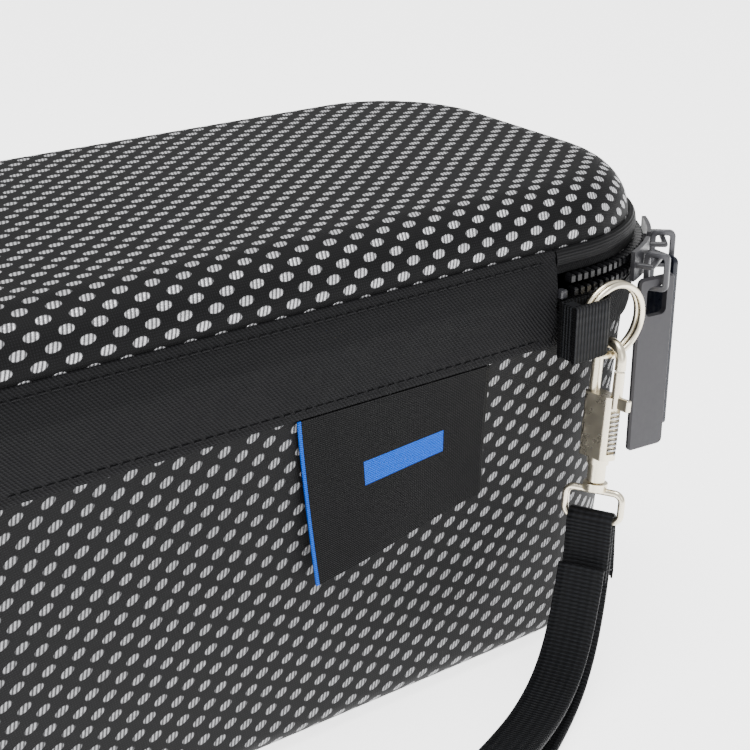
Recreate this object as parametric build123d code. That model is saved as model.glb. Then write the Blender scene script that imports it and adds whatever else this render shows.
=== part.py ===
from build123d import *
import os
from math import atan, cos, degrees, pi, radians, sin, tan

# Zip carry case for a portable launch monitor, with ring, snap hook and wrist strap.
# Millimetres, +Z up. The origin is under the middle of the case on the surface it stands on.
# +X runs along the long side, and the fabric hinge band, ring and label are on the front, -Y.

os.makedirs("parts", exist_ok=True)

# Case
LENGTH = 196.0
DEPTH = 100.0
HEIGHT = 107.0
CORNER = 34.0            # plan radius of the corners at the zip
ZIP_Z = 89.5             # parting plane between base and lid
BASE_DRAFT = 6.0         # how far the base's walls lean in from the zip down to the floor
LID_TAPER = 8.0          # degrees
SHOULDER = 11.0          # radius round the lid's top edge
FOOT = 7.0               # radius round the base's bottom edge

# Wall layers, measured inwards from the fabric's outer face
FABRIC = 0.8
EVA = 4.0
LINING = 0.6
GAP = 0.05
BASE_RIM_Z = 84.5
LID_RIM_Z = 94.5

# Bands and zip, measured outwards from the same face
BAND_LOW = 76.5
BAND_TOP = 96.8
BAND_LEFT = -62.5        # the hinge band's two ends along the front
BAND_RIGHT = 57.0
BAND_THICK = 1.1
TAPE_THICK = 0.7
CHAIN_GAP = 1.0          # free slit between the two rows of teeth
CHAIN_HALF = 1.9
CHAIN_PROUD = 2.6

# Foam insert and lid pocket
INSERT_TOP = 62.0
RECESS = (156.0, 58.0, 46.0)
POCKET = (160.0, 66.0, 0.6)
LABEL = (45.0, 36.0, 0.8)
LABEL_X = 19.0
POCKET_Z = 95.6
ELASTIC = 2.4

# Sliders and pulls
SLIDER_ARC = 11.0        # length along the track
SLIDER_TALL = 6.4
PLATE_THICK = 0.9
NEAR_ANGLE = -60.0       # plan angle of each slider about the corner's centre
FAR_ANGLE = -38.5
BAR_OUT = 7.0            # bail bar's distance outside the fabric face
WIRE = 1.2
LINK = (5.4, 8.4)
PULL = (9.5, 39.5, 1.4)
SLOT = (5.4, 6.6)
SLOT_DROP = 2.0
NEAR_TWIST = -35.0
FAR_TWIST = 37.0

# Ring, tab and hook
RING_X = 70.0
RING_Y = -54.1
RING_Z = 80.6
RING_R = 7.6             # to the middle of the wire
RING_WIRE = 1.4
TAB_TALL = 12.2
TAB_THICK = 1.1
HOOK_LEAN = 10.0
LEAN_TURN = 210.0        # plan direction in which the hook leans and the strap runs
HOOK_FACE = -90.0        # plan direction of the hook's gate side
LOOP_FACE = 300.0        # plan direction of the swivel loop's bar
LOOP_INSIDE = 10.6
LOOP_WIRE = 1.5
STRAP_THICK = 1.6

corner_x = LENGTH / 2 - CORNER
corner_y = -DEPTH / 2 + CORNER
front_y = -DEPTH / 2
parts = {}


def add(name, *solids):
    """Keep one node: its solids, as one compound when there are several."""
    flat = [s for item in solids for s in item.solids()]
    parts[name] = flat[0] if len(flat) == 1 else Compound(children=flat)


def tapered(z_low, z_high, inset_low, taper):
    """A rounded block whose walls lean by taper degrees, inwards when it is positive."""
    plan = RectangleRounded(LENGTH - 2 * inset_low, DEPTH - 2 * inset_low, CORNER - inset_low)
    return extrude(Plane.XY.offset(z_low) * plan, z_high - z_low, taper=taper)


base_taper = degrees(atan(BASE_DRAFT / ZIP_Z))


def base_block(offset, z_low, z_high):
    """The base's outer form moved outwards by offset, between two heights."""
    inset = BASE_DRAFT * (1 - z_low / ZIP_Z) - offset
    return tapered(z_low, z_high, inset, -base_taper)


def base_tray(depth, z_high):
    """The base's form at a depth inside its skin, with its rounded foot."""
    block = base_block(-depth, depth, z_high)
    return fillet(block.edges().group_by(Axis.Z)[0], max(FOOT - depth, 1.5))


def lid_block(offset, z_low, z_high):
    """The lid's outer form moved outwards by offset, between two heights."""
    inset = (z_low - ZIP_Z) * tan(radians(LID_TAPER)) - offset
    return tapered(z_low, z_high, inset, LID_TAPER)


def lid_dome(depth, z_low):
    """The lid's form at a depth inside its skin, with its rounded shoulder."""
    block = lid_block(-depth, z_low, HEIGHT - depth)
    return fillet(block.edges().group_by(Axis.Z)[-1], SHOULDER - depth)


def slab(z_low, z_high, x_low=-200.0, x_high=200.0, y_low=-200.0, y_high=200.0):
    """A box for cutting, between the given limits."""
    box = Box(x_high - x_low, y_high - y_low, z_high - z_low)
    return Pos((x_low + x_high) / 2, (y_low + y_high) / 2, (z_low + z_high) / 2) * box


def strip(form, inner, outer, z_low, z_high):
    """A thin wall round the case between two offsets and two heights."""
    return form(outer, z_low, z_high) - form(inner, z_low, z_high)




def front(margin):
    """The zone of the hinge band, made longer at both ends by a margin."""
    return slab(0, 200, BAND_LEFT - margin, BAND_RIGHT + margin, y_high=0)


def at_corner(radius, angle, z=ZIP_Z):
    """A frame on the front right corner: x along the zip, y outwards, z up."""
    a = radians(angle)
    x = corner_x + radius * cos(a)
    y = corner_y + radius * sin(a)
    return Pos(x, y, z) * Rot(0, 0, angle - 90)


def base_shells():
    add("base_outer_fabric", base_tray(0, 79) - base_tray(FABRIC, 90))
    eva_in = FABRIC + GAP
    lining_in = eva_in + EVA + GAP
    add("base_eva_shell", base_tray(eva_in, BASE_RIM_Z) - base_tray(eva_in + EVA, 90))
    lining = base_tray(lining_in, BASE_RIM_Z) - base_tray(lining_in + LINING, 90)
    add("base_lining", lining)
    core = base_tray(lining_in + LINING + 0.1, INSERT_TOP)
    long, wide, deep = RECESS
    x, y, floor = long / 2, wide / 2, INSERT_TOP - deep
    add("foam_floor", core & slab(0, floor))
    add("foam_left", core & slab(floor, 200, x_high=-x))
    add("foam_right", core & slab(floor, 200, x_low=x))
    add("foam_front", core & slab(floor, 200, -x, x, y_high=-y))
    add("foam_back", core & slab(floor, 200, -x, x, y_low=y))


def lid_shells():
    eva_in = FABRIC + GAP
    lining_in = eva_in + EVA + GAP
    add("lid_outer_fabric", lid_dome(0, 94) - lid_dome(FABRIC, 90))
    add("lid_eva_shell", lid_dome(eva_in, LID_RIM_Z) - lid_dome(eva_in + EVA, 90))
    inner = lid_dome(lining_in + LINING, 90)
    add("lid_lining", lid_dome(lining_in, LID_RIM_Z) - inner)
    long, wide, thick = POCKET
    add("lid_pocket_mesh", Pos(0, 3, POCKET_Z) * Box(long, wide, thick))
    hem_y = 3 - wide / 2 - ELASTIC / 2
    add("lid_pocket_elastic", Pos(0, hem_y, POCKET_Z) * Rot(0, 90, 0) * Cylinder(ELASTIC / 2, long))


def bands():
    slit = 0.2
    inner, outer = 0.1, 0.1 + BAND_THICK
    low = strip(base_block, inner, outer, BAND_LOW, ZIP_Z - slit)
    add("hinge_band_lower", low & front(0))
    high = strip(lid_block, inner, outer, ZIP_Z + slit, BAND_TOP)
    add("hinge_band_upper", high & front(0))
    tape_low = ZIP_Z - CHAIN_GAP / 2 - CHAIN_HALF - 0.1
    tape_high = ZIP_Z + CHAIN_GAP / 2 + CHAIN_HALF + 0.1
    away = front(0.3)
    add("zip_gusset", strip(base_block, inner, outer, BAND_LOW, tape_low - 2.1) - away)
    add("lid_binding", strip(lid_block, inner, outer, tape_high + 1.6, BAND_TOP) - away)
    face = 0.2 + TAPE_THICK
    add("zip_tape_lower", strip(base_block, 0.2, face, tape_low - 2, tape_low) - away)
    add("zip_tape_upper", strip(lid_block, 0.2, face, tape_high, tape_high + 1.5) - away)
    low_z = ZIP_Z - CHAIN_GAP / 2
    high_z = ZIP_Z + CHAIN_GAP / 2
    ends = front(2.4)
    teeth_low = strip(base_block, 0.4, CHAIN_PROUD, low_z - CHAIN_HALF, low_z)
    add("zip_teeth_lower", teeth_low - ends)
    teeth_high = strip(lid_block, 0.4, CHAIN_PROUD, high_z, high_z + CHAIN_HALF)
    add("zip_teeth_upper", teeth_high - ends)
    stop = fillet(Box(1.7, 1.9, CHAIN_HALF - 0.1).edges(), 0.4)
    stop_z = low_z - CHAIN_HALF / 2
    stops = [Pos(x, front_y - 1.4, stop_z) * stop for x in (BAND_LEFT - 1.3, BAND_RIGHT + 1.3)]
    add("zip_end_stops", *stops)


def sector(r_low, r_high, tall, span):
    """Part of a flat ring round the origin, centred on the x axis."""
    ring = Cylinder(r_high, tall) - Cylinder(r_low, tall)
    half = radians(span) / 2
    reach = 2 * r_high
    outline = Polyline((0, 0), (reach * cos(half), -reach * sin(half)),
                       (reach * cos(half), reach * sin(half)), (0, 0))
    wedge = extrude(Plane.XY.offset(-tall) * make_face(outline), 2 * tall)
    return ring & wedge


def slider(name, angle):
    """Front plate with its bail, back plate, and the web between the two rows of teeth."""
    face = CORNER + CHAIN_PROUD + 0.6
    span = degrees(SLIDER_ARC / face)
    front = sector(face, face + PLATE_THICK, SLIDER_TALL, span)
    back = sector(CORNER - 2.0, CORNER - 1.0, SLIDER_TALL - 2, span * 0.8)
    web = sector(CORNER - 1.3, face + 0.3, 0.6, span * 0.4)
    bar = CORNER + BAR_OUT
    half_bail = SLIDER_ARC / 2 - WIRE
    foot_long = bar - face - 0.5
    foot = Rot(0, 90, 0) * Cylinder(WIRE / 2, foot_long)
    feet = [Pos(bar - foot_long / 2, side * half_bail, 0) * foot for side in (-1, 1)]
    bridge = Pos(bar, 0, 0) * Rot(90, 0, 0) * Cylinder(WIRE / 2, 2 * half_bail)
    ends = [Pos(bar, side * half_bail, 0) * Sphere(WIRE / 2) for side in (-1, 1)]
    piece = front + back + web + bridge + feet + ends
    add(name, Pos(corner_x, corner_y, ZIP_Z) * Rot(0, 0, angle) * piece)


def pull(name, angle, shift, twist):
    """The wire link that hangs in the bail, and the slotted plate that hangs in the link."""
    wide, tall = LINK
    clear = 0.08
    path = RectangleRounded(wide, tall, 1.4) - RectangleRounded(wide - 2 * WIRE, tall - 2 * WIRE, 0.5)
    ring = extrude(Plane.YZ * path, WIRE / 2, both=True)
    link_z = ZIP_Z - tall / 2 + WIRE * 1.5 + clear
    bar = CORNER + BAR_OUT
    add(name + "_link", at_corner(bar, angle, link_z) * fillet(ring.edges(), 0.25))
    width, length, thick = PULL
    slot_wide, slot_tall = SLOT
    plate = Plane.XZ * RectangleRounded(width, length, 1.2)
    hole_z = length / 2 - SLOT_DROP - slot_tall / 2
    hole = Plane.XZ * (Pos(0, hole_z) * RectangleRounded(slot_wide, slot_tall, 1.2))
    blade = extrude(plate, thick / 2, both=True) - extrude(hole, thick, both=True)
    blade = chamfer(blade.faces().sort_by(Axis.Z)[0].edges(), 0.4)
    link_floor = link_z - tall / 2 + WIRE
    plate_z = link_floor + clear + SLOT_DROP - length / 2
    place = at_corner(bar + shift, angle, plate_z) * Rot(0, 0, twist)
    add(name + "_plate", place * blade)


def ring_and_tab():
    """Two turns of wire side by side, and the webbing folded through them."""
    wire = Torus(RING_R, RING_WIRE / 2)
    turns = [Pos(RING_X, RING_Y + side * (RING_WIRE / 2 - 0.03), RING_Z) * Rot(90, 0, 0) * wire
             for side in (-1, 1)]
    add("split_ring", turns[0] + turns[1])
    hole = RING_WIRE + 0.15
    outer = hole + TAB_THICK
    fold_x = RING_X - outer - 1.7
    fold = Cylinder(outer, TAB_TALL) - Cylinder(hole, TAB_TALL)
    fold = fold & Pos(outer, 0, 0) * Box(2 * outer, 4 * outer, TAB_TALL)
    long = fold_x - BAND_RIGHT - 0.6
    arm = Box(long, TAB_THICK, TAB_TALL)
    arms = [Pos(-long / 2, side * (hole + TAB_THICK / 2), 0) * arm for side in (-1, 1)]
    pad = Pos(-long + 1.4, 0, 0) * Box(2.8, 2 * hole, TAB_TALL)
    add("ring_tab", Pos(fold_x, RING_Y, RING_Z) * (fold + arms[0] + arms[1] + pad))


def hook_place(facing):
    """Where the hook hangs in the ring: -Z runs down its length, +X points to facing in plan."""
    lean = Rot(0, 0, LEAN_TURN) * Rot(0, -HOOK_LEAN, 0) * Rot(0, 0, -LEAN_TURN)
    return Pos(RING_X, RING_Y, RING_Z - RING_R) * lean * Rot(0, 0, facing)


def hook():
    """Snap hook: body with its arch, the sliding gate with its thumb knob, and the gate's spring."""
    rod = 1.15
    eye = 3.3
    eye_z = -0.8
    arch = Pos(0, 0, eye_z) * Rot(90, 0, 0) * Torus(eye, rod)
    arch = arch & Pos(0, 0, eye_z + 5) * Box(20, 20, 10)
    shank = Pos(-eye, 0, eye_z - 4.5) * Cylinder(rod, 9.0)
    tip = Pos(eye, 0, eye_z - 0.9) * Cylinder(rod, 1.8)
    body = Pos(-0.45, 0, -15.2) * Box(8.0, 4.4, 13.6)
    body = fillet(body.edges().filter_by(Axis.Z), 1.5)
    bore = Pos(eye, 0, -14.4) * Cylinder(1.35, 12.4)
    groove = Pos(eye + 1.6, 0, -14.4) * Box(3.2, 1.6, 12.4)
    foot = Pos(0, 0, -22.6) * Cylinder(2.3, 1.6)
    barrel = Pos(0, 0, -25.3) * (Cylinder(1.9, 4.0) - Cylinder(1.0, 4.0))
    frame = arch + shank + tip + (body - bore - groove) + foot + barrel
    gate = Pos(eye, 0, -6.85) * Cylinder(rod, 7.7)
    knob = Pos(eye + 1.9, 0, -9.4) * fillet(Box(3.8, 1.3, 2.6).edges(), 0.4)
    spring = Pos(eye, 0, -16.0) * (Cylinder(1.2, 9.0) - Cylinder(0.8, 9.0))
    return frame, gate + knob, spring


def swivel():
    """Pin that turns in the barrel, and the loop that carries the strap."""
    pin = Pos(0, 0, -25.85) * Cylinder(0.92, 4.7)
    collar = Pos(0, 0, -28.4) * Cylinder(2.6, 1.6)
    half = LOOP_INSIDE / 2 + LOOP_WIRE / 2
    top, low = -29.4, -35.6
    outline = Pos(0, (top + low) / 2) * RectangleRounded(2 * half, top - low, 1.7)
    path = (Plane.XZ * outline).wire()
    section = Plane(origin=path @ 0, z_dir=path % 0) * Circle(LOOP_WIRE / 2)
    loop = sweep(section, path=path)
    return pin + collar + loop


def strap_route():
    """The strap's middle line as (along, up) in the vertical plane in which the hook leans."""
    return [(6.3, 36.9), (7.0, 30.0), (9.0, 20.0), (14.0, 9.5), (24.0, 2.6), (44.0, 1.6),
            (70.0, 1.3), (94.0, 1.5), (112.0, 2.4), (124.5, 7.8), (129.5, 16.5), (125.5, 25.0),
            (114.0, 28.5), (98.0, 25.0), (76.0, 17.0), (54.0, 10.8), (36.0, 7.6), (23.0, 10.0),
            (15.0, 19.0), (11.4, 29.0)]


def strap():
    turn = radians(LEAN_TURN)
    points = [(RING_X + a * cos(turn), RING_Y + a * sin(turn), z) for a, z in strap_route()]
    radii = []
    for before, here, after in zip(points, points[1:], points[2:]):
        run_in, run_out = Vector(*here) - Vector(*before), Vector(*after) - Vector(*here)
        bend = radians(run_in.get_angle(run_out))
        radii.append(0.45 * min(run_in.length, run_out.length) / tan(bend / 2))
    path = FilletPolyline(*points, radius=radii)
    start = Plane(origin=path @ 0, z_dir=path % 0)
    tube = sweep(start * Circle(STRAP_THICK / 2), path=path)
    print("strap radii", [round(r, 1) for r in radii])
    print("strap length", round(path.length, 1), "tube volume over section times length",
          round(tube.volume / (pi * STRAP_THICK ** 2 / 4 * path.length), 4))
    return tube


def label():
    """Woven label, hanging flat against the front below the band."""
    lean = base_taper
    flap = fillet(Box(LABEL[0], LABEL[2], LABEL[1]).edges().filter_by(Axis.Y), 1.2)
    z = BAND_LOW - 0.2 - LABEL[1] / 2
    wall = front_y + BASE_DRAFT * (1 - z / ZIP_Z)
    return Pos(LABEL_X, wall - 0.72, z) * Rot(lean, 0, 0) * flap


base_shells()
lid_shells()
bands()
slider("slider_near", NEAR_ANGLE)
slider("slider_far", FAR_ANGLE)
pull("pull_near", NEAR_ANGLE, 0, NEAR_TWIST)
pull("pull_far", FAR_ANGLE, 0.1, FAR_TWIST)
ring_and_tab()
hook_frame, gate, spring = hook()
where = hook_place(HOOK_FACE)
add("hook_body", where * hook_frame)
add("hook_gate", where * gate)
add("gate_spring", where * spring)
add("swivel_loop", hook_place(LOOP_FACE) * swivel())
add("wrist_strap", strap())
add("woven_label", label())

for name, shape in parts.items():
    export_step(shape, f"parts/{name}.step")
print(len(parts), "nodes written")
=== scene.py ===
import bpy
import bmesh
import random
from math import atan, cos, pi, radians, sin, tan
from mathutils import Matrix, Vector


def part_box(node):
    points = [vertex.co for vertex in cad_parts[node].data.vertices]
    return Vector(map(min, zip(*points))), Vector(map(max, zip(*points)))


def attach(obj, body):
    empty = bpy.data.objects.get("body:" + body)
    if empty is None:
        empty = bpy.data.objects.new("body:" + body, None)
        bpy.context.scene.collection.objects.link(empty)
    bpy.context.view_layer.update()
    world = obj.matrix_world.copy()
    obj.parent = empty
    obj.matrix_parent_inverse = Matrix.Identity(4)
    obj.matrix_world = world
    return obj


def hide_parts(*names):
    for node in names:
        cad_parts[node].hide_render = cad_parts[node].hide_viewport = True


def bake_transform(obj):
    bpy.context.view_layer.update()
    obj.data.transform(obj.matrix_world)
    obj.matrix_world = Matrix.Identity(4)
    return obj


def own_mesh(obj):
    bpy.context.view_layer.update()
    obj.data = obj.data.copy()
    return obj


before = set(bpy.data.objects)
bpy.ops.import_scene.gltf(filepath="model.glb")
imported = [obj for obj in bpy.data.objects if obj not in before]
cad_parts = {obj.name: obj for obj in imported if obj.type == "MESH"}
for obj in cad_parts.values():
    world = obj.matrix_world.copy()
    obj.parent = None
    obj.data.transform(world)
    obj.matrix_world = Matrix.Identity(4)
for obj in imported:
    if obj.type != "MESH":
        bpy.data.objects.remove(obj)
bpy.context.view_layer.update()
MM = 0.001
random.seed(7)

# The case, in millimetres, as its CAD model has it
LENGTH, DEPTH, HEIGHT, CORNER, ZIP_Z = 196.0, 100.0, 107.0, 34.0, 89.5
DRAFT, TAPER, SHOULDER, FOOT = 6.0, radians(8), 11.0, 7.0
BAND_LOW, BAND_TOP, BAND_LEFT, BAND_RIGHT = 76.5, 96.8, -62.5, 57.0
RING = Vector((70.0, -54.1, 80.6))
RING_R, RING_WIRE = 7.6, 1.4
HEADING = radians(210)       # which way the hook and the strap lie, seen from above
CLOTH_CUT = 0.3              # gap between the hinge band and what ends beside it

# ---------------------------------------------------------------- camera
eye = Vector((-139.3, -264.5, 197.2)) * MM
right, up = Vector((0.8141, -0.5807, 0)), Vector((0.2339, 0.3278, 0.9153))
right.normalize()
back = right.cross(up).normalized()
up = back.cross(right)
cam_data = bpy.data.cameras.new("camera")
cam_data.lens, cam_data.sensor_width = 74.4, 36.0
cam_data.clip_start = 0.01
camera = bpy.data.objects.new("camera", cam_data)
bpy.context.scene.collection.objects.link(camera)
facing = Matrix((right, up, back)).transposed().to_4x4()
camera.matrix_world = Matrix.Translation(eye) @ facing
bpy.context.scene.camera = camera


# ---------------------------------------------------------------- materials
class Paint:
    """One principled material and short calls for its nodes."""

    def __init__(self, name, color, rough=0.6, **sockets):
        self.mat = bpy.data.materials.new(name)
        self.mat.use_nodes = True
        self.tree = self.mat.node_tree
        self.shader = self.tree.nodes["Principled BSDF"]
        self.set("Base Color", (*color, 1))
        self.set("Roughness", rough)
        for key, value in sockets.items():
            self.set(key.replace("_", " "), value)

    def feed(self, here, value):
        if isinstance(value, bpy.types.NodeSocket):
            self.tree.links.new(value, here)
        else:
            here.default_value = value

    def set(self, socket, value):
        self.feed(self.shader.inputs[socket], value)

    def node(self, kind, **inputs):
        made = self.tree.nodes.new(kind)
        for key, value in inputs.items():
            self.feed(made.inputs[key.replace("_", " ")], value)
        return made

    def math(self, kind, *values, clamp=False):
        made = self.tree.nodes.new("ShaderNodeMath")
        made.operation, made.use_clamp = kind, clamp
        for here, value in zip(made.inputs, values):
            self.feed(here, value)
        return made.outputs[0]

    def place(self):
        """The object's own millimetres."""
        made = self.tree.nodes.new("ShaderNodeTexCoord")
        grown = self.tree.nodes.new("ShaderNodeVectorMath")
        grown.operation = "SCALE"
        grown.inputs["Scale"].default_value = 1000
        self.tree.links.new(made.outputs["Object"], grown.inputs[0])
        return grown.outputs[0]

    def uv(self):
        """Millimetres along and across the cloth."""
        made = self.tree.nodes.new("ShaderNodeUVMap")
        made.uv_map = "cloth"
        split = self.node("ShaderNodeSeparateXYZ", Vector=made.outputs[0])
        return split.outputs[0], split.outputs[1]

    def noise(self, scale, detail):
        made = self.node("ShaderNodeTexNoise", Scale=scale, Detail=detail, Vector=self.place())
        return made.outputs[0]

    def wave(self, along, pitch):
        """0 to 1 and back once every pitch."""
        turned = self.math("MULTIPLY", along, 2 * pi / pitch)
        return self.math("MULTIPLY_ADD", self.math("SINE", turned), 0.5, 0.5)

    def blend(self, share, low, high):
        made = self.tree.nodes.new("ShaderNodeMix")
        made.data_type = "RGBA"
        self.tree.links.new(share, made.inputs["Factor"])
        for key, value in ((6, low), (7, high)):      # the node's two colour sockets
            self.feed(made.inputs[key], (*value, 1) if isinstance(value, tuple) else value)
        return made.outputs[2]

    def span(self, value, low, high):
        """value from 0 to 1 carried to low to high."""
        return self.math("MULTIPLY_ADD", value, high - low, low)

    def bump(self, height, distance, strength=1.0):
        made = self.node("ShaderNodeBump", Height=height, Distance=distance * MM,
                         Strength=strength)
        self.set("Normal", made.outputs[0])


def turned(p, u, v, angle):
    """The same spot measured along axes turned by angle."""
    along = p.math("ADD", p.math("MULTIPLY", u, cos(angle)), p.math("MULTIPLY", v, sin(angle)))
    over = p.math("SUBTRACT", p.math("MULTIPLY", v, cos(angle)), p.math("MULTIPLY", u, sin(angle)))
    return along, over


DOT_PITCH, DOT_HALF, DOT_POWER = (6.0, 5.0), (1.55, 0.88), 2.2


def jacquard(name, lattice, dot_turn, dim, bright):
    """Black moulded cloth with a lattice of pale oval dots, each a few slanted threads."""
    pitch_u, pitch_v = DOT_PITCH
    p = Paint(name, (0.01, 0.01, 0.012), 0.7, Specular_IOR_Level=0.14)
    flat_u, flat_v = p.uv()
    drift = p.noise(0.05, 2)
    flat_u = p.math("ADD", flat_u, p.span(drift, -0.5, 0.5))
    u, v = turned(p, flat_u, flat_v, lattice)
    field = None
    for shift in (0.0, 0.5):
        du = p.math("SUBTRACT", p.math("FRACT", p.math("MULTIPLY_ADD", u, 1 / pitch_u, shift)), 0.5)
        dv = p.math("SUBTRACT", p.math("FRACT", p.math("MULTIPLY_ADD", v, 1 / pitch_v, shift)), 0.5)
        along, over = turned(p, p.math("MULTIPLY", du, pitch_u), p.math("MULTIPLY", dv, pitch_v), dot_turn)
        wide = p.math("POWER", p.math("ABSOLUTE", p.math("DIVIDE", along, DOT_HALF[0])), DOT_POWER)
        tall = p.math("POWER", p.math("ABSOLUTE", p.math("DIVIDE", over, DOT_HALF[1])), DOT_POWER)
        inside = p.math("SUBTRACT", 1.0, p.math("ADD", wide, tall))
        field = inside if field is None else p.math("MAXIMUM", field, inside)
    dot = p.math("MULTIPLY", field, 3.0, clamp=True)
    slant = p.math("MULTIPLY_ADD", v, -0.35, u)
    thread = p.wave(slant, 0.78)
    lit = p.math("MULTIPLY", dot, p.span(thread, 0.06, 1.0))
    weave = p.math("MULTIPLY", p.wave(u, 0.5), p.wave(v, 0.5))
    ground = p.blend(weave, (0.0006, 0.0006, 0.0008), (0.0045, 0.0045, 0.0055))
    tone = p.noise(0.9, 2)
    pale = p.blend(tone, (dim, dim, dim * 1.04), (bright, bright, bright * 1.03))
    p.set("Base Color", p.blend(lit, ground, pale))
    p.set("Roughness", p.span(dot, 0.62, 0.27))
    p.set("Metallic", p.math("MULTIPLY", lit, 0.45))
    height = p.math("ADD", p.math("MULTIPLY", weave, 0.18),
                    p.math("MULTIPLY", dot, p.span(thread, 0.45, 0.95)))
    p.bump(height, 0.22)
    return p.mat


def woven(name, dark, light, across, pitch, slant, depth, rough=0.75):
    """Cloth with ribs: twill when slant is near 1, plain ribbed webbing when it is 0. across sets
    the ribs across the strip, and otherwise they run along it."""
    p = Paint(name, dark, rough, Specular_IOR_Level=0.12)
    u, v = p.uv()
    main, other = (u, v) if across else (v, u)
    rib = p.wave(p.math("MULTIPLY_ADD", other, slant, main), pitch)
    thread = p.wave(other, pitch * 0.62)
    cloudy = p.noise(0.35, 4)
    height = p.math("MULTIPLY_ADD", thread, 0.35, rib)
    share = p.math("MULTIPLY", p.math("MULTIPLY", rib, p.span(thread, 0.6, 1.0)),
                   p.span(cloudy, 0.5, 1.2), clamp=True)
    p.set("Base Color", p.blend(share, dark, light))
    p.set("Roughness", p.span(cloudy, rough - 0.12, rough + 0.12))
    p.bump(height, depth)
    return p.mat


def metal(name, color, rough, grain=2.2, metallic=1.0, depth=0.012):
    """Plated or lacquered metal, its tone and gloss slightly uneven."""
    p = Paint(name, color, rough, Metallic=metallic)
    cloudy = p.noise(grain * 0.25, 2)
    fine = p.noise(grain * 3, 3)
    worn = tuple(min(1.0, c * 1.08 + 0.005) for c in color)
    p.set("Base Color", p.blend(cloudy, tuple(c * 0.94 for c in color), worn))
    p.set("Roughness", p.span(cloudy, rough * 0.85, rough * 1.25))
    p.bump(fine, depth)
    return p.mat


def ribbed_plate():
    """Dark lacquered pull with faint upright ribs."""
    p = Paint("plate_dark", (0.012, 0.014, 0.026), 0.3, Specular_IOR_Level=0.35)
    split = p.node("ShaderNodeSeparateXYZ", Vector=p.place())
    side = p.math("SUBTRACT", split.outputs[0], split.outputs[1])
    rib = p.wave(side, 1.5)
    fine = p.noise(3.0, 4)
    p.set("Base Color", p.blend(fine, (0.002, 0.003, 0.007), (0.006, 0.008, 0.017)))
    p.set("Roughness", p.span(fine, 0.2, 0.4))
    p.bump(p.math("MULTIPLY_ADD", fine, 0.2, rib), 0.05)
    return p.mat


def grainy(name, dark, light, scale, depth, rough, cell=False):
    """Foam, tricot lining and other matt grained stuff."""
    p = Paint(name, dark, rough, Specular_IOR_Level=0.25)
    fine = p.noise(scale, 6)
    height = fine
    if cell:
        pores = p.node("ShaderNodeTexVoronoi", Scale=scale * 0.8, Vector=p.place()).outputs[0]
        height = p.math("ADD", fine, pores)
    p.set("Base Color", p.blend(p.noise(scale * 0.3, 4), dark, light))
    p.set("Roughness", p.span(fine, rough - 0.1, rough + 0.08))
    p.bump(height, depth)
    return p.mat


def label_cloth():
    """Black satin label with one plain blue bar and a blue selvedge on its left."""
    bar_low, bar_high, bar_left, bar_right, selvedge = 17.0, 22.5, 14.0, 34.0, 0.7
    p = Paint("label_weave", (0.008, 0.008, 0.01), 0.5, Specular_IOR_Level=0.1)
    u, v = p.uv()
    thread = p.wave(v, 0.42)
    cross = p.wave(u, 0.55)
    upright = p.math("MULTIPLY", p.math("GREATER_THAN", v, bar_low), p.math("LESS_THAN", v, bar_high))
    sideways = p.math("MULTIPLY", p.math("GREATER_THAN", u, bar_left), p.math("LESS_THAN", u, bar_right))
    bar = p.math("MULTIPLY", upright, sideways)
    blue = p.math("MAXIMUM", bar, p.math("LESS_THAN", u, selvedge))
    weave = p.math("MULTIPLY", thread, cross)
    black = p.blend(weave, (0.0004, 0.0004, 0.0006), (0.0025, 0.0025, 0.0032))
    bright = p.blend(thread, (0.0, 0.03, 0.26), (0.0, 0.11, 0.62))
    p.set("Base Color", p.blend(blue, black, bright))
    p.set("Roughness", p.span(cross, 0.42, 0.6))
    p.bump(p.math("MULTIPLY_ADD", cross, 0.5, p.math("ADD", thread, blue)), 0.07)
    return p.mat


def net_cloth():
    """Open net: threads both ways, clear between them."""
    p = Paint("pocket_mesh", (0.015, 0.015, 0.017), 0.7)
    u, v = p.uv()
    mesh_pitch = 2.2
    a = p.wave(p.math("ADD", u, v), mesh_pitch)
    b = p.wave(p.math("SUBTRACT", u, v), mesh_pitch)
    thread = p.math("GREATER_THAN", p.math("MAXIMUM", a, b), 0.78)
    p.set("Alpha", thread)
    p.bump(p.math("MAXIMUM", a, b), 0.15)
    return p.mat


# One cloth made twice: the base's dots are painted dimmer as painted shade on its front, and the lid's
# painted brighter as a painted highlight on its glossy shoulder.
BASE_CLOTH_PAINTED_SHADE = jacquard("jacquard_base_painted_shade", radians(12), radians(20), 0.16, 0.42)
LID_CLOTH_PAINTED_HIGHLIGHT = jacquard("jacquard_lid_painted_highlight", 0.0, radians(8), 0.4, 0.85)
TWILL = woven("twill", (0.0006, 0.0006, 0.0008), (0.009, 0.009, 0.0105), True, 0.8, 0.85, 0.12, 0.7)
BINDING = woven("binding", (0.0008, 0.0008, 0.001), (0.006, 0.006, 0.007), False, 0.6, 0.0, 0.06, 0.55)
WEBBING = woven("webbing", (0.0008, 0.0008, 0.001), (0.011, 0.012, 0.0145), True, 0.85, 0.0, 0.22, 0.62)
TAPE = woven("zip_tape", (0.0008, 0.0008, 0.001), (0.006, 0.006, 0.007), True, 0.5, 0.5, 0.08)
LINING = grainy("lining_cloth", (0.02, 0.02, 0.022), (0.05, 0.05, 0.055), 6.0, 0.08, 0.85)
EVA = grainy("eva_foam", (0.012, 0.012, 0.013), (0.03, 0.03, 0.032), 4.0, 0.1, 0.8, True)
FOAM = grainy("insert_foam", (0.018, 0.018, 0.02), (0.045, 0.045, 0.048), 2.5, 0.25, 0.9, True)
TEETH = grainy("zip_teeth", (0.0015, 0.0015, 0.002), (0.006, 0.006, 0.007), 5.0, 0.02, 0.3)
NICKEL = metal("plated_metal", (0.76, 0.69, 0.54), 0.27, depth=0.001)
STEEL = metal("spring_steel", (0.55, 0.55, 0.56), 0.3)
SLIDER = metal("slider_metal", (0.016, 0.016, 0.019), 0.34, metallic=0.0)
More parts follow.
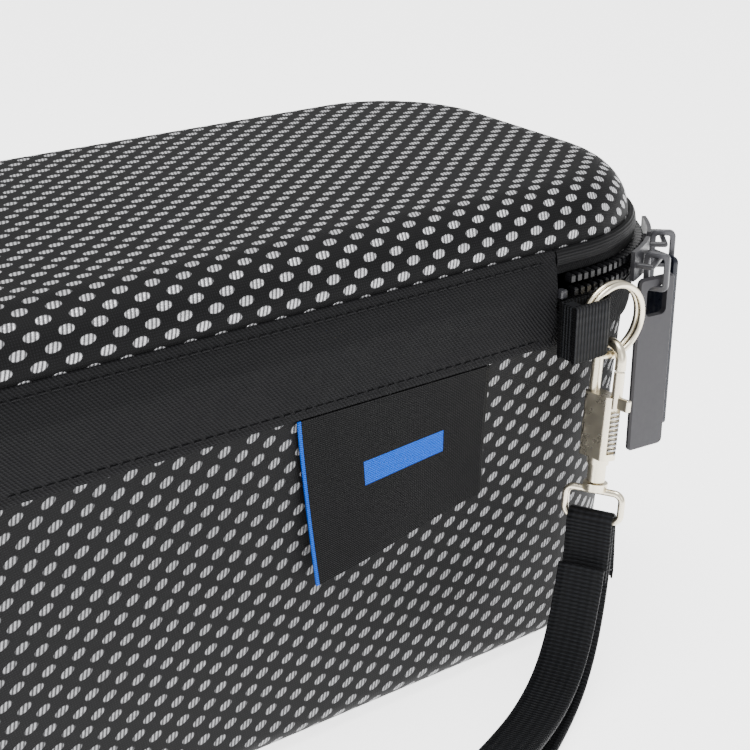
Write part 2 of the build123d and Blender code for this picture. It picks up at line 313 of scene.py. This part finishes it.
LINKMETAL = metal("link_metal", (0.05, 0.05, 0.056), 0.32, metallic=0.3)
MATTE_PLATE = metal("pull_metal", (0.013, 0.012, 0.016), 0.55, grain=4.0, metallic=0.0)
DARK_PLATE = ribbed_plate()
THREAD = woven("stitch_thread", (0.001, 0.001, 0.0012), (0.01, 0.01, 0.012), True, 0.3, 0.6, 0.05, 0.5)


# ---------------------------------------------------------------- mesh tools
def finish_mesh(name, verts, faces, uvs, mat, angle):
    """The object of a mesh given in millimetres, with its cloth map, smooth faces and material."""
    mesh = bpy.data.meshes.new(name)
    mesh.from_pydata([Vector(v) * MM for v in verts], [], faces)
    layer = mesh.uv_layers.new(name="cloth")
    for slot, value in zip(layer.data, uvs):
        slot.uv = value
    made = bmesh.new()
    made.from_mesh(mesh)
    bmesh.ops.recalc_face_normals(made, faces=made.faces)
    made.to_mesh(mesh)
    made.free()
    mesh.shade_smooth()
    mesh.set_sharp_from_angle(angle=radians(angle))
    mesh.materials.append(mat)
    piece = bpy.data.objects.new(name, mesh)
    bpy.context.scene.collection.objects.link(piece)
    return piece


def loft(name, rows, uv, mat, wrap=False, ring=False, cap=None, angle=40):
    """Quads between rows of points. wrap closes each row, ring joins the last row to the first."""
    high, wide = len(rows), len(rows[0])
    verts = [p for row in rows for p in row]
    faces, uvs = [], []
    for i in range(high if ring else high - 1):
        for j in range(wide if wrap else wide - 1):
            face = []
            for a, b in ((i, j), (i, j + 1), (i + 1, j + 1), (i + 1, j)):
                face.append((a % high) * wide + b % wide)
                uvs.append(uv(a, b))
            faces.append(face)
    if cap:
        for i in (0, high - 1):
            face = [i * wide + j for j in range(wide)]
            faces.append(face)
            uvs += [cap(*verts[k]) for k in face]
    return finish_mesh(name, verts, faces, uvs, mat, angle)


def running(points, start=0.0, closed=False):
    """Distance along the points to each of them, and back to the first if closed."""
    points = [Vector(p) for p in points]
    total = [start]
    for a, b in zip(points, points[1:] + (points[:1] if closed else [])):
        total.append(total[-1] + (b - a).length)
    return total


def outline(step=3.0, turns=20):
    """The case's plan at the zip, from the front middle: points with outward normals, and distances."""
    a, b, r = LENGTH / 2, DEPTH / 2, CORNER
    spots = []

    def run(start, end, normal):
        count = max(1, round((Vector(end) - Vector(start)).length / step))
        for k in range(count):
            spots.append((Vector(start).lerp(Vector(end), k / count), Vector(normal)))

    def bend(cx, cy, begin):
        for k in range(turns):
            t = radians(begin + 90 * k / turns)
            n = Vector((cos(t), sin(t)))
            spots.append((Vector((cx, cy)) + r * n, n))

    run((0, -b), (a - r, -b), (0, -1))
    bend(a - r, -b + r, -90)
    run((a, -b + r), (a, b - r), (1, 0))
    bend(a - r, b - r, 0)
    run((a - r, b), (-a + r, b), (0, 1))
    bend(-a + r, b - r, 90)
    run((-a, b - r), (-a, -b + r), (-1, 0))
    bend(-a + r, -b + r, 180)
    run((-a + r, -b), (0, -b), (0, -1))
    return spots, running([p for p, _ in spots], closed=True)


SPOTS, ALONG = outline()
BEHIND = min((k for k, (p, n) in enumerate(SPOTS) if p.y > 0), key=lambda k: abs(SPOTS[k][0].x))
ROUND = SPOTS[BEHIND:] + SPOTS[:BEHIND]      # from the middle of the back, where the cloth joins


WALL_STEPS, LID_WALL_STEPS = 16, 4


def base_in(z, depth=0.0):
    """How far in from the plan at the zip the base's wall is at this height."""
    return DRAFT * (1 - z / ZIP_Z) + depth


def lid_in(z, depth=0.0):
    """The same for the lid's wall."""
    return (z - ZIP_Z) * tan(TAPER) + depth


def base_profile(depth, top, steps=9):
    """(inset, height) up the base's side from its floor, with the rounded foot."""
    r = max(FOOT - depth, 1.5)
    lean = atan(DRAFT / ZIP_Z)
    cz = depth + r
    ci = base_in(cz - r * sin(lean), depth) + r * cos(lean)
    arc = [radians(90) + (lean - radians(90)) * k / steps for k in range(steps + 1)]
    line = [(ci - r * cos(t), cz - r * sin(t)) for t in arc]
    low = line[-1][1]
    heights = [low + (top - low) * k / WALL_STEPS for k in range(1, WALL_STEPS + 1)]
    return line + [(base_in(z, depth), z) for z in heights]


def lid_profile(depth, low, steps=12):
    """(inset, height) up the lid's side from its rim and over its shoulder."""
    r = SHOULDER - depth
    cz = HEIGHT - depth - r
    start = cz + r * sin(TAPER)
    ci = lid_in(start, depth) + r * cos(TAPER)
    heights = [low + (start - low) * k / LID_WALL_STEPS for k in range(LID_WALL_STEPS)]
    wall = [(lid_in(z, depth), z) for z in heights]
    arc = [TAPER + (radians(90) - TAPER) * k / steps for k in range(steps + 1)]
    return wall + [(ci - r * cos(t), cz + r * sin(t)) for t in arc]


def faces_front(n):
    """Whether a normal belongs to the flat side that carries the hinge band."""
    return n.y < -0.999


def ring_row(inset, z):
    """The case's plan moved in by inset, at one height."""
    return [(p.x - inset * n.x, p.y - inset * n.y, z) for p, n in ROUND]


def shell(name, outer, inner, mat, spread):
    """A closed moulded skin: out along one profile and back along the other. spread lays the
    pattern flat from the profile's start, and otherwise it is wrapped round the side."""
    line = outer + inner[::-1]
    rows = [ring_row(i, z) for i, z in line]
    up_side = running(line)
    edge = len(outer)
    around = running([p for p, _ in ROUND], -ALONG[-1] / 2, closed=True)

    def uv(i, j):
        here = up_side[i if i < edge else 2 * edge - 1 - i]
        if not spread:
            return around[j], here
        p, n = ROUND[j % len(ROUND)]
        return (p.x + (here - line[0][0]) * n.x, p.y + (here - line[0][0]) * n.y)

    return loft(name, rows, uv, mat, wrap=True, cap=lambda x, y, z: (x, y), angle=50)


def belt(name, form, section, mat):
    """A closed section of (outward, height) carried round the case, from band end to band end."""
    y, forward = -DEPTH / 2, Vector((0, -1))
    ends = (BAND_RIGHT + CLOTH_CUT, BAND_LEFT - CLOTH_CUT)
    spots = [(Vector((ends[0], y)), forward)]
    spots += [(p, n) for p, n in SPOTS if not (faces_front(n) and ends[1] < p.x < ends[0])]
    spots.append((Vector((ends[1], y)), forward))
    around = running([p for p, _ in spots])
    rows = [[(p.x + (out - form(z)) * n.x, p.y + (out - form(z)) * n.y, z) for out, z in section]
            for p, n in spots]
    across = running(section, closed=True)
    return loft(name, rows, lambda i, j: (around[i], across[j]), mat, wrap=True,
                cap=lambda x, y, z: (x, z))


def crowned(inner, outer, low, high, crown, count=6):
    """A strip's section, flat inside and swelling outside, with soft edges."""
    face = []
    for k in range(count + 1):
        t = k / count
        face.append((outer + crown * (4 * t * (1 - t)) ** 0.5 - crown, low + (high - low) * t))
    return [(inner, low)] + face + [(inner, high)]


def tube(name, path, radius, mat, sides):
    """A round wire along points, closed at both ends."""
    path = [Vector(p) for p in path]
    rows = []
    normal = None
    for k, p in enumerate(path):
        t = (path[min(k + 1, len(path) - 1)] - path[max(k - 1, 0)]).normalized()
        if normal is None:
            normal = t.orthogonal().normalized()
        normal = (normal - t * normal.dot(t)).normalized()
        side = t.cross(normal)
        rows.append([tuple(p + radius * cos(2 * pi * s / sides) * normal
                           + radius * sin(2 * pi * s / sides) * side)
                     for s in range(sides)])
    along = running(path)
    girth = 2 * pi * radius / sides
    return loft(name, rows, lambda i, j: (along[i], j * girth), mat, wrap=True,
                cap=lambda x, y, z: (x, z), angle=50)


def ribbon(name, points, side, width, thick, mat, edge=0.35):
    """A flat strap along points, its width along side and its edges softened."""
    pts = [Vector(p) for p in points]
    side = Vector(side).normalized()
    rows = []
    for k, p in enumerate(pts):
        t = (pts[min(k + 1, len(pts) - 1)] - pts[max(k - 1, 0)]).normalized()
        up_here = side.cross(t).normalized()
        w, h = width / 2, thick / 2
        ring = [(-w, -h * 0.5), (-w + edge, -h), (-w * 0.5, -h), (0, -h), (w * 0.5, -h),
                (w - edge, -h), (w, -h * 0.5), (w, h * 0.5), (w - edge, h), (w * 0.5, h),
                (0, h), (-w * 0.5, h), (-w + edge, h), (-w, h * 0.5)]
        rows.append([tuple(p + a * side + b * up_here) for a, b in ring])
    along = running(pts)
    return loft(name, rows, lambda i, j: (along[i], j * 0.8), mat, wrap=True,
                cap=lambda x, y, z: (x, z), angle=50)


def repaint(node, mat):
    """Give a CAD node its material."""
    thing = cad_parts[node]
    for slot in thing.material_slots:
        slot.material = mat
    if not thing.material_slots:
        thing.data.materials.append(mat)


def box_part(centre, size, b, turn=Matrix.Identity(3)):
    """Corner points and faces of a block chamfered by b, to be gathered into one mesh."""
    sx, sy, sz = (s / 2 for s in size)
    points, faces = [], []
    for z, x, y in ((-sz, sx - b, sy - b), (-sz + b, sx, sy), (sz - b, sx, sy), (sz, sx - b, sy - b)):
        points += [Vector((-x, -y, z)), Vector((x, -y, z)), Vector((x, y, z)), Vector((-x, y, z))]
    for k in range(3):
        for j in range(4):
            faces.append([4 * k + j, 4 * k + (j + 1) % 4, 4 * k + 4 + (j + 1) % 4, 4 * k + 4 + j])
    faces += [[3, 2, 1, 0], [12, 13, 14, 15]]
    return [tuple(turn @ p + Vector(centre)) for p in points], faces


def gather(name, blocks, mat):
    """One mesh of many blocks."""
    verts, faces, uvs = [], [], []
    for points, sides in blocks:
        first = len(verts)
        verts += points
        for side in sides:
            faces.append([first + k for k in side])
            uvs += [(points[k][0] + points[k][1], points[k][2]) for k in side]
    return finish_mesh(name, verts, faces, uvs, mat, angle=30)


# ---------------------------------------------------------------- wrist strap
# The strap's line, as (distance from the ring along its heading, height)
ROUTE = [(6.3, 36.9), (7.0, 30.0), (9.0, 20.0), (14.0, 9.5), (24.0, 2.6), (44.0, 1.6),
         (70.0, 1.3), (94.0, 1.5), (112.0, 2.4), (124.5, 7.8), (129.5, 16.5), (125.5, 25.0),
         (114.0, 28.5), (98.0, 25.0), (76.0, 17.0), (54.0, 10.8), (36.0, 7.6), (23.0, 10.0),
         (15.0, 19.0), (11.4, 29.0)]


def strap_spot(along, up_by):
    """A point on the upright plane that the strap lies in."""
    return Vector((RING.x + along * cos(HEADING), RING.y + along * sin(HEADING), up_by))


def smooth_line(name, points, resolution=14):
    """Points along the smooth line that the given ones steer."""
    curve = bpy.data.curves.new(name, "CURVE")
    curve.dimensions = "3D"
    curve.resolution_u = resolution
    spline = curve.splines.new("NURBS")
    spline.points.add(len(points) - 1)
    for spot, value in zip(spline.points, points):
        spot.co = (*(Vector(value) * MM), 1)
    spline.order_u = 3
    spline.use_endpoint_u = True
    holder = bpy.data.objects.new(name, curve)
    read = bpy.data.meshes.new_from_object(holder)
    line = [v.co / MM for v in read.vertices]
    bpy.data.objects.remove(holder)
    bpy.data.curves.remove(curve)
    bpy.data.meshes.remove(read)
    return line


ACROSS = (0.5, -0.866, 0)    # level, and square to the heading
strap_line = smooth_line("strap_line", [strap_spot(a, z) for a, z in ROUTE])
strap = ribbon("wrist_strap_webbing", strap_line, ACROSS, 10.0, 1.25, WEBBING)
strap_length = sum((b - a).length for a, b in zip(strap_line, strap_line[1:]))

bar_a, bar_z, bar_wrap = 6.2, 37.9, 1.55      # the swivel loop's bar, and how far out the fold passes it
fold_points = [(3.9, 25.5), (4.1, 29.0), (4.5, 33.0), (4.7, 36.2), (4.9, 38.2)]
fold_points += [(bar_a + bar_wrap * cos(radians(t)), bar_z + bar_wrap * sin(radians(t)))
                for t in (160, 130, 100, 70, 40, 10, -15)]
fold_points += [(8.0, 34.0), (8.6, 30.0), (9.6, 25.0)]
fold_line = smooth_line("fold_line", [strap_spot(a, z) for a, z in fold_points], 8)
fold = ribbon("strap_sewn_fold", fold_line, ACROSS, 9.8, 1.0, WEBBING)

stitches = []
side = Vector(ACROSS).normalized()
for up_by in (27.0, 31.5):
    for k in range(9):
        spot = strap_spot(3.3, up_by + 0.15 * k) + side * (-3.8 + 0.95 * k)
        stitches.append(box_part(spot, (0.75, 0.35, 0.3), 0.08, Matrix.Rotation(radians(-60), 3, "Z")))
strap_stitch = gather("strap_stitches", stitches, THREAD)

frays = []
for k in range(22):
    spot = strap_spot(3.9, 25.2) + side * (-4.6 + 0.44 * k)
    tall = 1.0 + 1.8 * random.random()
    frays.append(box_part(spot + Vector((0, 0, -tall / 2 + 0.3)), (0.2, 0.5, tall), 0.05,
                          Matrix.Rotation(radians(random.uniform(-14, 14)), 3, "X")))
fray = gather("strap_raw_end", frays, THREAD)
for piece in (strap, fold, strap_stitch, fray):
    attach(piece, "swivel")
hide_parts("wrist_strap")

# ---------------------------------------------------------------- shells
CLOTH_LAYER, LINING_LAYER = (0, 0.8), (4.9, 5.5)     # how deep each layer's two faces lie


def base_shell(name, layer, top, mat):
    outer, inner = (base_profile(depth, top) for depth in layer)
    return shell(name, outer, inner, mat, spread=False)


def lid_shell(name, layer, low, mat, spread):
    outer, inner = (lid_profile(depth, low)[::-1] for depth in layer)
    return shell(name, outer, inner, mat, spread)


base_skin = base_shell("base_moulded_fabric", CLOTH_LAYER, 79.0, BASE_CLOTH_PAINTED_SHADE)
lid_skin = lid_shell("lid_moulded_fabric", CLOTH_LAYER, 94.0, LID_CLOTH_PAINTED_HIGHLIGHT, spread=True)
base_inner = base_shell("base_lining_cloth", LINING_LAYER, 84.5, LINING)
lid_inner = lid_shell("lid_lining_cloth", LINING_LAYER, 94.5, LINING, spread=False)
for piece, node, body, slot in ((base_skin, "base_outer_fabric", "base", "dotted_fabric"),
                                (lid_skin, "lid_outer_fabric", "lid", "dotted_fabric"),
                                (base_inner, "base_lining", "base", "lining_cloth"),
                                (lid_inner, "lid_lining", "lid", "lining_cloth")):
    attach(piece, body)
    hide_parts(node)
repaint("base_eva_shell", EVA)
repaint("lid_eva_shell", EVA)
for node in ("foam_floor", "foam_left", "foam_right", "foam_front", "foam_back"):
    repaint(node, FOAM)

# ---------------------------------------------------------------- hinge band
BAND_PROUD, BAND_THICK = 1.25, 1.1
BAND_COLS, BAND_ROWS = 90, 22


def band_face(z):
    """How far the band stands out at this height."""
    wall = base_in(z) if z < ZIP_Z else lid_in(z)
    return DEPTH / 2 - wall + BAND_PROUD


def hinge_band():
    """A closed strip over the zip, hemmed at its ends and with a sewn groove along each edge."""
    cols = [BAND_LEFT + (BAND_RIGHT - BAND_LEFT) * k / BAND_COLS for k in range(BAND_COLS + 1)]
    heights = [BAND_LOW + (BAND_TOP - BAND_LOW) * k / BAND_ROWS for k in range(BAND_ROWS + 1)]
    wide = len(heights)
    rows = []
    for x in cols:
        end = min(1.0, min(BAND_RIGHT - x, x - BAND_LEFT) / 3.6)
        hem = 0.35 if end < 1 else 0.0
        section = []
        for z in heights:
            t = (z - BAND_LOW) / (BAND_TOP - BAND_LOW)
            crown = 0.45 * (max(0.0, 4 * t * (1 - t))) ** 0.5 - 0.45
            groove = -0.22 if abs(t - 0.1) < 0.03 or abs(t - 0.9) < 0.03 else 0.0
            ripple = 0.08 * sin(x * 0.33) * sin(t * pi)
            section.append((x, -(band_face(z) + crown + groove + ripple + hem), z))
        for z in reversed(heights):
            section.append((x, -(band_face(z) - BAND_THICK), z))
        rows.append(section)

    def uv(i, j):
        j = j % (2 * wide)
        return cols[i], heights[j] if j < wide else heights[2 * wide - 1 - j]

    return loft("hinge_band", rows, uv, TWILL, wrap=True, cap=lambda x, y, z: (y, z))


band = hinge_band()
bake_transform(band)
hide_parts("hinge_band_lower", "hinge_band_upper")

STITCH_PITCH, STITCH_FROM, STITCH_TO = 2.3, BAND_LEFT + 1.6, BAND_RIGHT - 1.2
for tag, z, body in (("low", BAND_LOW + 1.9, "base"), ("high", BAND_TOP - 1.9, "lid")):
    blocks = []
    for k in range(int((STITCH_TO - STITCH_FROM) / STITCH_PITCH) + 1):
        x = STITCH_FROM + STITCH_PITCH * k
        blocks.append(box_part((x, -(band_face(z) - 0.22), z), (1.5, 0.3, 0.28), 0.07))
    row = gather("band_stitch_" + tag, blocks, THREAD)
    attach(row, body)

# ---------------------------------------------------------------- zip
gusset = belt("zip_gusset_cloth", base_in, crowned(0.1, 1.3, BAND_LOW, 84.8, 0.3), TWILL)
binding = belt("lid_binding_tape", lid_in, crowned(0.1, 1.5, 93.6, BAND_TOP, 0.45), BINDING)
tape_low = belt("zip_tape_low", base_in, crowned(0.2, 0.9, 85.0, 87.0, 0.1), TAPE)
tape_high = belt("zip_tape_high", lid_in, crowned(0.2, 0.9, 92.0, 93.5, 0.1), TAPE)
for piece, node, body, slot in ((gusset, "zip_gusset", "base", "twill"),
                                (binding, "lid_binding", "lid", "binding"),
                                (tape_low, "zip_tape_lower", "base", "zip_tape"),
                                (tape_high, "zip_tape_upper", "lid", "zip_tape")):
    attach(piece, body)
    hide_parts(node)


def track_spot(s):
    """Point and normal at a distance along the zip's plan."""
    s = s % ALONG[-1]
    for k in range(len(SPOTS)):
        if ALONG[k + 1] >= s:
            t = (s - ALONG[k]) / (ALONG[k + 1] - ALONG[k])
            (p, n), (q, m) = SPOTS[k], SPOTS[(k + 1) % len(SPOTS)]
            return p.lerp(q, t), n.lerp(m, t).normalized()


def teeth(name, low, shift, form):
    """A row of zip teeth round the case, with none behind the hinge band."""
    blocks = []
    pitch, size, clear = 1.7, (1.0, 2.1, 1.85), 2.8
    z = low + 0.95
    mid = 1.5 - form(z)
    for k in range(int(ALONG[-1] / pitch)):
        p, n = track_spot(k * pitch + shift)
        if faces_front(n) and BAND_LEFT - clear < p.x < BAND_RIGHT + clear:
            continue
        spot = (p.x + mid * n.x, p.y + mid * n.y, z)
        turn = Matrix(((-n.y, n.x, 0), (n.x, n.y, 0), (0, 0, 1)))
        blocks.append(box_part(spot, size, 0.3, turn))
    return gather(name, blocks, TEETH)


for name, node, low, shift, form, body in (
        ("teeth_low", "zip_teeth_lower", 87.1, 0.0, base_in, "base"),
        ("teeth_high", "zip_teeth_upper", 90.0, 0.85, lid_in, "lid")):
    piece = teeth(name, low, shift, form)
    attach(piece, body)
    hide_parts(node)
repaint("zip_end_stops", SLIDER)
repaint("slider_near", SLIDER)
repaint("slider_far", SLIDER)
repaint("pull_near_link", LINKMETAL)
repaint("pull_far_link", LINKMETAL)
repaint("pull_near_plate", MATTE_PLATE)
repaint("pull_far_plate", DARK_PLATE)

# ---------------------------------------------------------------- ring and tab
# The wire runs round twice and steps from one coil to the other half way
WIRE_STEPS, WIRE_SHIFT = 144, 0.67
wire_path = []
for k in range(WIRE_STEPS + 1):
    t = k / WIRE_STEPS
    angle = radians(-95 + 715 * t)
    side_y = -WIRE_SHIFT + 2 * WIRE_SHIFT * min(1.0, max(0.0, (t - 0.44) / 0.12))
    wire_path.append((RING.x + RING_R * cos(angle), RING.y + side_y, RING.z + RING_R * sin(angle)))
split = tube("split_ring_wire", wire_path, RING_WIRE / 2, NICKEL, 12)
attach(split, "ring")
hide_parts("split_ring")

# The tab's webbing runs out from the band, round the wire and back, over a filler pad
hole, thick, tall = RING_WIRE + 0.15, 1.1, 12.2
outer = hole + thick
fold_x = RING.x - outer - 1.7
start_x = BAND_RIGHT + 0.6
middle = (hole + outer) / 2
tab_path = [(start_x + (fold_x - start_x) * k / 8, -middle) for k in range(9)]
tab_path += [(fold_x + middle * cos(radians(t)), middle * sin(radians(t)))
             for t in range(-80, 81, 10)]
tab_path += [(fold_x - (fold_x - start_x) * k / 8, middle) for k in range(9)]
tab_line = [Vector((x, RING.y + y, RING.z)) for x, y in tab_path]
tab = ribbon("ring_tab_webbing", tab_line, (0, 0, 1), tall, 1.0, WEBBING)
pad_block = box_part((start_x + 1.4, RING.y, RING.z), (2.8, 2 * hole - 0.1, tall - 0.4), 0.3)
pad_part = gather("ring_tab_pad", [pad_block], WEBBING)
for piece in (tab, pad_part):
    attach(piece, "base")
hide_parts("ring_tab")
for node in ("hook_body", "hook_gate", "swivel_loop"):
    repaint(node, NICKEL)

# The gate's spring, a wire coil made at one fixed length
HOOK_LEAN = radians(-10)
SPRING_OFF, SPRING_R, SPRING_WIRE, COIL_STEPS = 3.3, 0.95, 0.2, 16
lean_in = (Matrix.Rotation(HEADING, 4, "Z") @ Matrix.Rotation(HOOK_LEAN, 4, "Y")
           @ Matrix.Rotation(-HEADING, 4, "Z"))
hook_at = Matrix.Translation(RING - Vector((0, 0, RING_R))) @ lean_in @ Matrix.Rotation(-pi / 2, 4, "Z")
spring_low, spring_high, coils = -20.4, -11.6, 9
coil_path = []
for k in range(coils * COIL_STEPS + 1):
    share = k / (coils * COIL_STEPS)
    angle = 2 * pi * coils * share
    z = spring_low + (spring_high - spring_low) * share
    spot = Vector((SPRING_OFF + SPRING_R * cos(angle), SPRING_R * sin(angle), z))
    coil_path.append(hook_at @ spot)
spring = tube("gate_spring_coil", coil_path, SPRING_WIRE, STEEL, 8)
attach(spring, "hook")
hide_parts("gate_spring")
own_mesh(spring)

# ---------------------------------------------------------------- label
# It hangs from its top edge, and its lower left corner stands off the case
LABEL_WIDE, LABEL_TALL, LABEL_THICK, LABEL_LEFT, LABEL_LOW = 45, 36, 0.4, -3.4, 40.6


def label_spot(u, v, layer):
    """A point of the label, u from left to right and v from bottom to top."""
    x = LABEL_LEFT + LABEL_WIDE * u + 4.0 * (1 - v) * (1 - u) - 0.6 * (1 - v)
    z = LABEL_LOW + 35.6 * v + 7.0 * u * (1 - v)
    curl = 2.6 * (1 - v) ** 1.6 * (0.35 + 0.65 * (1 - u))
    out = 0.25 + curl + 0.35 * sin(u * 6.0) * (1 - v)
    return x, -(DEPTH / 2 - base_in(z) + out + 0.5 - layer), z


def label_face(layer):
    return [[label_spot(j / LABEL_WIDE, i / LABEL_TALL, layer) for j in range(LABEL_WIDE + 1)]
            for i in range(LABEL_TALL + 1)]


def label_uv(i, j):
    i = i % (2 * (LABEL_TALL + 1))
    return j, i if i <= LABEL_TALL else 2 * LABEL_TALL + 1 - i


loop_rows = label_face(0.0) + label_face(LABEL_THICK)[::-1]
tag = loft("woven_label_cloth", loop_rows, label_uv, label_cloth(), ring=True)
edges = bmesh.new()
edges.from_mesh(tag.data)
bmesh.ops.holes_fill(edges, edges=[e for e in edges.edges if e.is_boundary], sides=0)
bmesh.ops.recalc_face_normals(edges, faces=edges.faces)
edges.to_mesh(tag.data)
edges.free()
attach(tag, "base")
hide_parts("woven_label")

# ---------------------------------------------------------------- lid pocket
net_low, net_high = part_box("lid_pocket_mesh")
NET_ROWS, NET_COLS, NET_Z = 24, 50, 95.5
rows = []
for i in range(NET_ROWS + 1):
    s = i / NET_ROWS
    y = (net_low[1] + (net_high[1] - net_low[1]) * i / NET_ROWS) / MM
    row = []
    for j in range(NET_COLS + 1):
        t = j / NET_COLS
        x = (net_low[0] + (net_high[0] - net_low[0]) * j / NET_COLS) / MM
        sag = 0.5 * sin(pi * s) * sin(pi * t)
        row.append((x, y, NET_Z - sag))
    rows.append(row)
net = loft("lid_pocket_net", rows, lambda i, j: (j * 3.0, i * 2.75), net_cloth())
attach(net, "lid")
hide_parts("lid_pocket_mesh")

hem_low, hem_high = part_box("lid_pocket_elastic")
mid_y, mid_z = (hem_low[1] + hem_high[1]) / 2 / MM, (hem_low[2] + hem_high[2]) / 2 / MM
HEM_R, HEM_STEPS, HEM_SIDES = 1.2, 300, 12
rows = []
for k in range(HEM_STEPS + 1):
    x = (hem_low[0] + (hem_high[0] - hem_low[0]) * k / HEM_STEPS) / MM
    swell = 0.92 + 0.08 * sin(k * 1.1)
    rows.append([(x, mid_y + HEM_R * swell * cos(2 * pi * s / HEM_SIDES),
                  mid_z + HEM_R * swell * sin(2 * pi * s / HEM_SIDES)) for s in range(HEM_SIDES)])
elastic = loft("lid_pocket_gathered_hem", rows, lambda i, j: (i * 0.5, j * 0.63), BINDING,
               wrap=True, cap=lambda x, y, z: (y, z))
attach(elastic, "lid")
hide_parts("lid_pocket_elastic")

# ---------------------------------------------------------------- stage
floor_mesh = bpy.data.meshes.new("floor")
FLOOR_HALF, FLOOR_Z, FLOOR_GLOW, WORLD_GLOW = 3, -0.0002, 2.6, 0.95
floor_corners = [(x * FLOOR_HALF, y * FLOOR_HALF, FLOOR_Z) for x, y in ((-1, -1), (1, -1), (1, 1), (-1, 1))]
floor_mesh.from_pydata(floor_corners, [], [[0, 1, 2, 3]])
floor = bpy.data.objects.new("floor", floor_mesh)
bpy.context.scene.collection.objects.link(floor)
paint = Paint("floor_white", (0.92, 0.92, 0.92), 0.8, Emission_Strength=FLOOR_GLOW)
paint.set("Emission Color", (1, 1, 1, 1))
floor_mesh.materials.append(paint.mat)

world = bpy.data.worlds.new("world")
world.use_nodes = True
world.node_tree.nodes["Background"].inputs[0].default_value = (1, 1, 1, 1)
world.node_tree.nodes["Background"].inputs[1].default_value = WORLD_GLOW
bpy.context.scene.world = world


def lamp(name, place, aim, size, power):
    """A square soft light at place, turned to aim."""
    data = bpy.data.lights.new(name, "AREA")
    data.shape, data.size, data.energy = "SQUARE", size, power
    made = bpy.data.objects.new(name, data)
    made.location = place
    made.rotation_euler = (Vector(aim) - Vector(place)).to_track_quat("-Z", "Y").to_euler()
    bpy.context.scene.collection.objects.link(made)


lamp("key", (0.0, -0.15, 1.1), (0.02, -0.03, 0.08), 0.6, 12)
lamp("front", (-0.1, -0.9, 0.5), (0.03, -0.03, 0.07), 0.5, 2)
